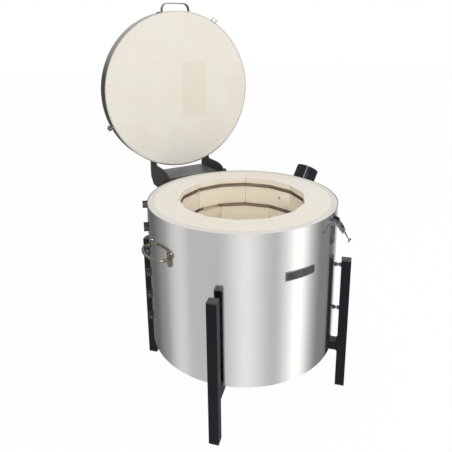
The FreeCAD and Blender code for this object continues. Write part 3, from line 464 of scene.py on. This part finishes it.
def powderCoat(name, colour, rough, scale, strength, shine):
    # orange peel, and what faces up painted lighter: a little dust and a painted sheen
    finish = Finish(name)
    peel = finish.noise(scale, detail=2.0, rough=0.5)
    patches = finish.noise(14.0, detail=4.0, rough=0.6).between(0.4, 0.8)
    upwardDustAndSheen = finish.facing().between(*dustAndSheen["facing"])
    tone = finish.blend(patches * 0.15, colour, tuple(c * 1.6 + 0.006 for c in colour))
    tone = finish.blend(upwardDustAndSheen * 0.7, tone, dustAndSheen["colour"])
    return finish.set(colour=tone, roughness=peel * 0.12 + upwardDustAndSheen * 0.15 + rough, specular=shine,
                      normal=finish.bump(peel, strength, distance=0.0008))


def hammered(name, colour):
    # dimpled enamel over steel; what faces up is painted paler, dust and a painted sheen, and this shows more
    # than the dimples
    finish = Finish(name)
    dimples = finish.cells(150.0, "SMOOTH_F1")
    upwardDustAndSheen = finish.facing().between(*dustAndSheen["facing"])
    tone = finish.blend(dimples.between(0.15, 0.7), colour, tuple(c * 1.7 + 0.008 for c in colour))
    # paler where it faces up: dust and a painted sheen
    tone = finish.blend(upwardDustAndSheen * 0.75, tone, dustAndSheen["paleColour"])
    return finish.set(colour=tone, roughness=dimples * 0.2 + 0.28, metallic=0.3,
                      normal=finish.bump(dimples, strength=0.35, distance=0.0012))


wireLook = {
    "colour": (0.034, 0.023, 0.014),
    "scaled": (0.078, 0.054, 0.034),
    "caked": (0.60, 0.48, 0.33),
    "cakedStrength": 0.85,
    "cakedFront": (0.2060, 0.2085),  # depths from the middle of the chamber
    "cakedBack": (0.22, 0.216),
}


def elementWire():
    # oxidised wire; the side of each turn that lies against the groove is caked with pale brick dust
    finish = Finish("elementWire")
    x, y = finish.axes("XY")
    scale = finish.noise(700.0, detail=3.0, rough=0.6)
    tone = finish.blend(scale.between(0.3, 0.7), wireLook["colour"], wireLook["scaled"])
    depth = chamberDepth(x, y)
    caked = depth.between(*wireLook["cakedFront"]) * depth.between(*wireLook["cakedBack"])
    tone = finish.blend(caked * wireLook["cakedStrength"], tone, wireLook["caked"])
    return finish.set(colour=tone, roughness=0.75, specular=0.2,
                      normal=finish.bump(scale, strength=0.3, distance=0.0004))


def whiteCeramic(name, colour, shade):
    finish = Finish(name)
    specks = finish.noise(380.0, detail=2.0, rough=0.6)
    tone = finish.blend(specks.between(0.4, 0.7) * 0.3, colour, shade)
    return finish.set(colour=tone, roughness=0.5, normal=finish.bump(specks, strength=0.08, distance=0.0005))


def blackPlastic():
    finish = Finish("blackPlastic")
    grain = finish.noise(600.0, detail=2.0, rough=0.5)
    tone = finish.blend(grain.between(0.4, 0.7) * 0.4, (0.014, 0.015, 0.017), (0.03, 0.031, 0.034))
    # lighter where it faces up: dust and a painted sheen, as on the paints
    tone = finish.blend(finish.facing().between(*dustAndSheen["facing"]) * 0.6, tone, dustAndSheen["plasticColour"])
    return finish.set(colour=tone, roughness=grain * 0.1 + 0.45, specular=0.35,
                      normal=finish.bump(grain, strength=0.1, distance=0.0004))


plate = {
    "azimuth": 1.0,            # middle of the plate, degrees
    "halfAngle": 9.80,
    "middle": 0.5025,
    "halfHeight": 0.0140,
    "drumRadius": 0.305,
    "frame": 0.0022,           # width of the bare frame round the darker field
    "frameFade": 0.0003,
    "bright": (0.34, 0.34, 0.33),
    "brushed": (0.24, 0.24, 0.235),
    "fieldColour": (0.048, 0.047, 0.046),
    "grime": (0.085, 0.083, 0.081),
}


def plateMetal():
    # a bare plate: brushed frame, darker etched field
    finish = Finish("namePlateMetal")
    x, y, z = finish.axes()
    brushed = finish.noise(500.0, detail=2.0, rough=0.6, stretch=(1.0, 1.0, 0.02))
    tone = finish.blend(brushed * 0.4, plate["bright"], plate["brushed"])
    along = (azimuthOf(x, y) - radians(plate["azimuth"])).size() * plate["drumRadius"]
    toSide = radians(plate["halfAngle"]) * plate["drumRadius"] - along
    toEdge = plate["halfHeight"] - (z - plate["middle"]).size()
    fade = plate["frameFade"]
    field = toSide.maths("MINIMUM", toEdge).between(plate["frame"] - fade, plate["frame"] + fade)
    grime = finish.noise(60.0, detail=3.0, rough=0.6).between(0.35, 0.75)
    tone = finish.blend(field, tone, finish.blend(grime, plate["fieldColour"], plate["grime"]))
    return finish.set(colour=tone, roughness=brushed * 0.1 + field * 0.12 + 0.30, metallic=1 - field * 0.5,
                      normal=finish.bump(brushed * 0.3 - field, strength=0.15, distance=0.0003))


finishes = {
    "polished_steel": polishedSteel("lidSteel", sheet["colour"], rough=0.12),
    "plain_steel": plainMetal("plainSteel", (0.50, 0.50, 0.49), rough=0.34),
    "firebrick": wallBrick(),
    "fibre_board": fibreBoard(),
    "white_ceramic": whiteCeramic("whiteCeramic", (0.80, 0.77, 0.70), shade=(0.66, 0.60, 0.50)),
    "element_wire": elementWire(),
    "powder_coat": powderCoat("legPaint", (0.0035, 0.0052, 0.0075), rough=0.38, scale=500.0,
                              strength=0.08, shine=0.16),
    "hammered_paint": hammered("hingePaint", (0.022, 0.021, 0.020)),
    "vent_paint": powderCoat("ventPaint", (0.0045, 0.0062, 0.0105), rough=0.34, scale=350.0,
                             strength=0.12, shine=0.2),
    "black_plastic": blackPlastic(),
    "etched_plate": plateMetal(),
    # dark patches and a darkened colour: tarnish and a painted dark reflection
    "bright_fixings": plainMetal("platedSteel", (0.36, 0.375, 0.405), rough=0.14, tarnishAndReflection=0.85, dark=0.22),
}
# dark studs: tarnish and a painted dark reflection
studSteel = plainMetal("studSteel", (0.20, 0.20, 0.205), rough=0.24, tarnishAndReflection=0.9, dark=0.3)
handleNickel = plainMetal("handleNickel", (0.30, 0.28, 0.225), rough=0.15, tarnishAndReflection=0.6, dark=0.45)
ownFinish = {
    "jacket": polishedSteel("jacketSteel", sheet["colour"], rough=0.10, seamAzimuth=-113.0),
    "floor_slab": floorBrick(),
    "lid_slab": lidBrick(),
    "lid_band": polishedSteel("bandSteel", (0.20, 0.195, 0.185), rough=0.18, cutEdge=(0.72, 0.70, 0.66)),
    "tie_rod": plainMetal("rodSteel", (0.10, 0.098, 0.095), rough=0.34),
    # dark seam bolts: tarnish and a painted dark reflection of the room
    "seam_bolts": plainMetal("boltSteel", (0.17, 0.17, 0.175), rough=0.26, tarnishAndReflection=0.9, dark=0.3),
    "leg_studs": studSteel,
    "leg_stud_nuts": studSteel,
    "handle_left": handleNickel,
    "handle_right": handleNickel,
    "handle_rivets": plainMetal("rivetNickel", (0.30, 0.285, 0.24), rough=0.18, tarnishAndReflection=0.6, dark=0.45),
    "lid_handle": plainMetal("strapSteel", (0.24, 0.24, 0.235), rough=0.20, tarnishAndReflection=0.7, dark=0.4),
    "lid_catch": plainMetal("catchSteel", (0.60, 0.60, 0.59), rough=0.22, tarnishAndReflection=0.4, dark=0.6),
    "thermocouple": whiteCeramic("thermocoupleCeramic", (0.42, 0.36, 0.27), shade=(0.28, 0.22, 0.16)),
}
for name, node in nodes.items():
    node.data.materials.clear()
    node.data.materials.append(ownFinish.get(name, finishes[slotOf[name]]))
print("finishes on the packed nodes")


# curved and edged nodes, joined up and shaded smooth, some with their sharp edges broken

edged = {  # node: width of the broken edge in metres, 0 for none
    "jacket": 0.0, "lid_band": 0.0, "vent_tube": 0.0006, "vent_flange": 0.0,
    "handle_left": 0.0, "handle_right": 0.0, "handle_rivets": 0.0,
    "lid_handle": 0.0005, "lid_rivets": 0.0, "lid_catch": 0.0004, "tie_rod": 0.0, "tie_rod_cap": 0.0,
    "hinge_pin": 0.0006, "hinge_washers": 0.0, "hinge_bracket": 0.0007,
    "hinge_lug_left": 0.0007, "hinge_lug_right": 0.0007,
    "leg_front_left": 0.0012, "leg_front_right": 0.0012, "leg_rear_left": 0.0012, "leg_rear_right": 0.0012,
    "leg_studs": 0.0, "latch_base": 0.0003, "latch_lever": 0.0003, "latch_hook": 0.0,
    "latch_pins": 0.0, "latch_rivets": 0.0, "latch_hook_pin": 0.0,
    "cable_gland": 0.0005, "thermocouple": 0.0, "lead_bushings": 0.0004,
    "backup_insulation": 0.0, "base_pan": 0.0, "lid_top_sheet": 0.0,
    "terminal_box": 0.0, "terminal_cover": 0.0005, "nameplate": 0.0002,
    "leg_caps": 0.0008, "leg_feet": 0.0008,
    "wall_course_1": 0.0012, "wall_course_2": 0.0012, "wall_course_3": 0.0012, "wall_course_4": 0.0012,
    "floor_slab": 0.0015, "lid_slab": 0.0022,
}
edgeWork = {
    "mergeDistance": 0.000005,
    "flatAngle": 0.5,          # faces that meet at less than this many degrees become one
    "breakAngle": 42,
    "smoothAngle": 34,
}


def smoothed(name, width):
    source = nodes[name]
    piece = bpy.data.objects.new(name + "_finished", source.data.copy())
    bpy.context.scene.collection.objects.link(piece)
    pickOnly(piece)
    bpy.ops.mesh.customdata_custom_splitnormals_clear()
    bpy.ops.object.mode_set(mode="EDIT")
    bpy.ops.mesh.select_all(action="SELECT")
    bpy.ops.mesh.remove_doubles(threshold=edgeWork["mergeDistance"])
    if width:
        bpy.ops.mesh.dissolve_limited(angle_limit=radians(edgeWork["flatAngle"]))
    bpy.ops.object.mode_set(mode="OBJECT")
    if width:
        broken = piece.modifiers.new("brokenEdges", "BEVEL")
        broken.width = width
        broken.segments = 1
        broken.limit_method = "ANGLE"
        broken.angle_limit = radians(edgeWork["breakAngle"])
        broken.use_clamp_overlap = True
        bpy.ops.object.modifier_apply(modifier=broken.name)
    bpy.ops.object.shade_smooth_by_angle(angle=radians(edgeWork["smoothAngle"]))
    keep(piece, name + "_finished", bodyOf[name], source.data.materials[0], slotOf[name], name)


for name, width in edged.items():
    smoothed(name, width)
print(len(edged), "nodes smoothed,", sum(width > 0 for width in edged.values()), "with broken edges")


# heating coils

coil = {
    "sides": 14,               # flat sides of the chamber
    "pathRadius": 0.207,       # from the middle of the chamber to the middle of a coil, at a flat side
    "sag": 0.0012,             # the coil rests this much under the middle of its groove
    "coilRadius": 0.0062,
    "wireRadius": 0.0011,
    "wireSides": 5,
    "pitch": 0.0080,
    "steps": 14,
    "leadRadius": 0.0019,
    "leadSmooth": 50,
    "layerRadius": 0.294,      # behind the bricks, where the leads run down
    "endRadius": 0.3238,
    "lowExit": 0.4218,
    "loweredRows": 2,          # the leads of this many upper rows go down to the lower exit
    "starts": (197.6, 172.0, 174.5, 174.5),
    "ends": (194.0, 191.0, 188.3, 188.3),
    "cornerGap": 0.001,        # degrees between a straight stretch and its corner
    "cornerMargin": 0.1,       # a corner nearer to a lead than this many degrees is left out
    "shortest": 0.001,         # points of a lead that lie closer than this become one
}
sideAngle = 360.0 / coil["sides"]


def onCoilPath(azimuth, height):
    # a point on the middle line of a coil, which follows the flat sides
    flat = round((azimuth - brick["firstJoint"]) / sideAngle - 0.5) + 0.5
    off = radians(azimuth - brick["firstJoint"] - flat * sideAngle)
    return around(coil["pathRadius"] / cos(off), azimuth, height)


def helix(length):
    # a wire ring swept by a screw modifier: one straight stretch of coil along +Z
    turns = max(2, round(length / coil["pitch"]))
    deselectAll()
    bpy.ops.mesh.primitive_circle_add(vertices=coil["wireSides"], radius=coil["wireRadius"],
                                      location=(coil["coilRadius"] - coil["wireRadius"], 0, 0),
                                      rotation=(pi / 2, 0, 0))
    ring = bpy.context.object
    bpy.ops.object.transform_apply(location=True, rotation=True, scale=True)
    screw = ring.modifiers.new("winding", "SCREW")
    screw.axis = "Z"
    screw.screw_offset = length / turns
    screw.iterations = turns
    screw.steps = coil["steps"]
    screw.render_steps = coil["steps"]
    screw.use_smooth_shade = True
    bpy.ops.object.modifier_apply(modifier=screw.name)
    return ring


def leadWire(points):
    # the lead from the end of a coil out through the wall
    deselectAll()
    bpy.ops.curve.primitive_nurbs_path_add(location=(0, 0, 0))
    path = bpy.context.object
    spline = path.data.splines.new("POLY")
    path.data.splines.remove(path.data.splines[0])
    spline.points.add(len(points) - 1)
    for point, place in zip(spline.points, points):
        point.co = (place.x, place.y, place.z, 1.0)
    path.data.bevel_depth = coil["leadRadius"]
    path.data.bevel_resolution = 1
    path.data.use_fill_caps = True
    bpy.ops.object.convert(target="MESH")
    bpy.ops.object.shade_smooth_by_angle(angle=radians(coil["leadSmooth"]))
    return bpy.context.object


def leadPoints(corner, azimuth, height, lowered):
    points = [corner, onCoilPath(azimuth, height), around(coil["layerRadius"], azimuth, height)]
    if lowered:
        points.append(around(coil["layerRadius"], azimuth, coil["lowExit"]))
    points.append(around(coil["endRadius"], azimuth, coil["lowExit"] if lowered else height))
    return [p for i, p in enumerate(points) if i == 0 or (p - points[i - 1]).length > coil["shortest"]]


def coilRow(index):
    height = brick["rowHeights"][index] - coil["sag"]
    start, end = coil["starts"][index], coil["ends"][index]
    gap, margin = coil["cornerGap"], coil["cornerMargin"]
    corners = [brick["firstJoint"] + sideAngle * i for i in range(-coil["sides"], 2 * coil["sides"])]
    if index == 0:
        # the top row is wound right up to its leads, and the others stop at the corner before
        stops = [start] + [c for c in corners if start < c < end + 360] + [end + 360]
        outs = (start, end)
    else:
        stops = [c for c in corners if end + margin < c < start + 360 - margin]
        outs = (end, start)
    firstCorner, lastCorner = onCoilPath(stops[0] + gap, height), onCoilPath(stops[-1] - gap, height)
    parts = []
    for first, last in zip(stops, stops[1:]):
        a, b = onCoilPath(first + gap, height), onCoilPath(last - gap, height)
        part = helix((b - a).length)
        turned = (b - a).to_track_quat("Z", "X").to_matrix().to_4x4()
        part.data.transform(Matrix.Translation(a) @ turned)
        parts.append(part)
    for out, corner in zip(outs, (firstCorner, lastCorner)):
        parts.append(leadWire(leadPoints(corner, out, height, index < coil["loweredRows"])))
    row = joined(parts)
    number = index + 1
    keep(row, "coil_row_%d" % number, "kiln", finishes["element_wire"],
         "element_wire", "heating_element_%d" % number)


for index in range(len(brick["rowHeights"])):
    coilRow(index)
print("coils wound")


# weld bead along the seam of the vent stub

bead = {
    "azimuth": 106.5,          # of the stub, degrees
    "lean": 55.0,              # of the stub's axis above level
    "axisRadius": 0.364,       # where that axis passes the height of the rim
    "rimHeight": 0.638,
    "tubeRadius": 0.0398,
    "turn": 118.97,            # of the seam, from the stub's level rear side over its top, degrees
    "start": -0.0300,
    "end": 0.0184,
    "pitch": 0.0011,
    "overlap": 1.1,            # a ripple's length as a share of the pitch
    "width": 0.0017,
    "height": 0.0010,
    "segments": 10,
    "rings": 6,
    "swell": (0.14, 2.3),      # how much, and how far it turns from one ripple to the next
    "flutter": (0.08, 5.1),
}
weldMetal = plainMetal("weldMetal", (0.36, 0.37, 0.40), rough=0.30, tarnishAndReflection=0.5, dark=0.5)


def weldBead():
    # one flattened ripple, copied along the seam with small changes of size
    lean = radians(bead["lean"])
    axis = around(cos(lean), bead["azimuth"], sin(lean))
    side = Matrix.Rotation(radians(bead["turn"]), 3, axis) @ around(1.0, bead["azimuth"] + 90, 0.0)
    atRim = around(bead["axisRadius"], bead["azimuth"], bead["rimHeight"])
    flat = Matrix((side.cross(axis), axis, side)).transposed().to_4x4()
    deselectAll()
    bpy.ops.mesh.primitive_uv_sphere_add(segments=bead["segments"], ring_count=bead["rings"], radius=1.0,
                                         location=(0, 0, 0))
    ripple = bpy.context.object
    bpy.ops.object.mode_set(mode="EDIT")
    bpy.ops.mesh.select_all(action="SELECT")
    bpy.ops.transform.resize(value=(bead["width"], bead["pitch"] * bead["overlap"], bead["height"]))
    bpy.ops.object.mode_set(mode="OBJECT")
    (swell, swellTurn), (flutter, flutterTurn) = bead["swell"], bead["flutter"]
    parts = []
    for i in range(round((bead["end"] - bead["start"]) / bead["pitch"]) + 1):
        part = ripple.copy()
        part.data = ripple.data.copy()
        bpy.context.scene.collection.objects.link(part)
        scale = 1.0 + swell * sin(i * swellTurn) + flutter * sin(i * flutterTurn)
        along = bead["start"] + bead["pitch"] * i
        place = atRim + axis * along + side * bead["tubeRadius"]
        part.data.transform(Matrix.Translation(place) @ flat @ Matrix.Diagonal((scale, 1.0, scale, 1.0)))
        parts.append(part)
    bpy.data.objects.remove(ripple)
    seam = joined(parts)
    bpy.ops.object.shade_smooth_by_angle(angle=radians(60))
    keep(seam, "vent_weld_bead", "kiln", weldMetal, "bright_fixings")


weldBead()
print("weld bead laid")


# studio

studio = {
    "floorSize": 30.0,
    "floorColour": (0.86, 0.86, 0.86),
    "floorGlow": 0.97,        # how white the floor shows to the camera
    "softLight": 0.74,
    "wallLevel": 0.16,        # what polished metal sees between the light walls
    "lightWalls": (           # azimuth, half width, soft edge, in degrees, and how much light
        (-31.5, 67.0, 23.0, 0.50),
        (-117.0, 0.5, 21.5, 0.38),
        (-128.5, 5.0, 33.5, 0.24),
        (-26.5, 0.5, 33.0, 0.425),
        (40.5, 0.5, 34.5, 0.77),
        (62.0, 27.0, 12.0, 0.12),
        (138.0, 8.0, 32.0, 0.58),
    ),
    "ceilingLevel": 0.80,
    "ceilingFade": (0.02, 0.3),
    "cameraPlace": (-0.7538, -1.2230, 1.1355),
    "cameraTurn": 28.79,
    "cameraTilt": 14.41,
    "cameraRoll": -0.79,
    "lens": 37.05,
    "sensor": 36.0,
    "shift": (0.015, -0.15),
    "farthest": 60.0,
    "lampAim": (0.0, 0.1, 0.55),
    "keyPlace": (-3.0, -4.6, 3.5),
    "keySize": 2.6,
    "keyPower": 165.0,
    "fillPlace": (2.4, -1.4, 2.0),
    "fillSize": 1.6,
    "fillPower": 18.0,
    "white": (1.0, 1.0, 1.0),
}


def makeFloor():
    deselectAll()
    bpy.ops.mesh.primitive_plane_add(size=studio["floorSize"], location=(0, 0, 0))
    floor = bpy.context.object
    floor.name = "studioFloor"
    finish = Finish("studioFloorPaint")
    finish.set(colour=studio["floorColour"], roughness=0.9, specular=0.1)
    toCamera = finish.node("ShaderNodeLightPath", output="Is Camera Ray")
    glow = finish.node("ShaderNodeEmission", {}, {"Color": studio["white"], "Strength": 1.0})
    paint = Wire(finish, finish.shader.outputs[0])
    shown = finish.node("ShaderNodeMixShader", {}, {0: toCamera * studio["floorGlow"], 1: paint, 2: glow})
    finish.put(finish.output.inputs[0], shown)
    floor.data.materials.append(finish.material)
    floor.visible_glossy = False   # polished metal sees the light walls all the way down


def makeWorld():
    # white to the camera, light walls to polished metal, even soft light to all else
    world = bpy.data.worlds.new("studioWorld")
    bpy.context.scene.world = world
    world.use_nodes = True
    room = NodeBench(world.node_tree)
    toCamera, toMetal, toGlass = room.several(
        "ShaderNodeLightPath", ("Is Camera Ray", "Is Glossy Ray", "Is Transmission Ray"))
    direction = room.node("ShaderNodeTexCoord", output="Generated")
    x, y, z = room.several("ShaderNodeSeparateXYZ", "XYZ", {0: direction})
    azimuth = azimuthOf(x, y) * degrees(1.0)
    walls = studio["wallLevel"]
    for middle, half, edge, light in studio["lightWalls"]:
        walls = (azimuth - middle).size().between(half + edge, half) * light + walls
    above = z.between(*studio["ceilingFade"])
    walls = walls * (1 - above) + above * studio["ceilingLevel"]
    white = toCamera.maths("MAXIMUM", toGlass)
    other = (1 - white) * (1 - toMetal)
    level = white + toMetal * walls * (1 - white) + other * studio["softLight"]
    light = room.node("ShaderNodeBackground", {}, {0: studio["white"], 1: level})
    output = room.tree.nodes.new("ShaderNodeOutputWorld")
    room.put(output.inputs[0], light)


def softLamp(name, place, size, power):
    bpy.ops.object.light_add(type="AREA", location=place)
    lamp = bpy.context.object
    lamp.name = name
    lamp.data.shape = "DISK"
    lamp.data.size = size
    lamp.data.energy = power
    aim = Vector(studio["lampAim"]) - Vector(place)
    lamp.rotation_euler = aim.to_track_quat("-Z", "Y").to_euler()


def makeCamera():
    bpy.ops.object.camera_add(location=studio["cameraPlace"])
    camera = bpy.context.object
    turn = (Matrix.Rotation(radians(-studio["cameraTurn"]), 4, "Z")
            @ Matrix.Rotation(radians(90 - studio["cameraTilt"]), 4, "X")
            @ Matrix.Rotation(radians(studio["cameraRoll"]), 4, "Z"))
    camera.rotation_euler = turn.to_euler()
    camera.data.lens = studio["lens"]
    camera.data.sensor_width = studio["sensor"]
    camera.data.shift_x, camera.data.shift_y = studio["shift"]
    camera.data.clip_end = studio["farthest"]
    bpy.context.scene.camera = camera


makeFloor()
makeWorld()
softLamp("keyLamp", studio["keyPlace"], studio["keySize"], studio["keyPower"])
softLamp("fillLamp", studio["fillPlace"], studio["fillSize"], studio["fillPower"])
makeCamera()
bpy.context.scene.view_settings.view_transform = "Standard"
print("studio ready")
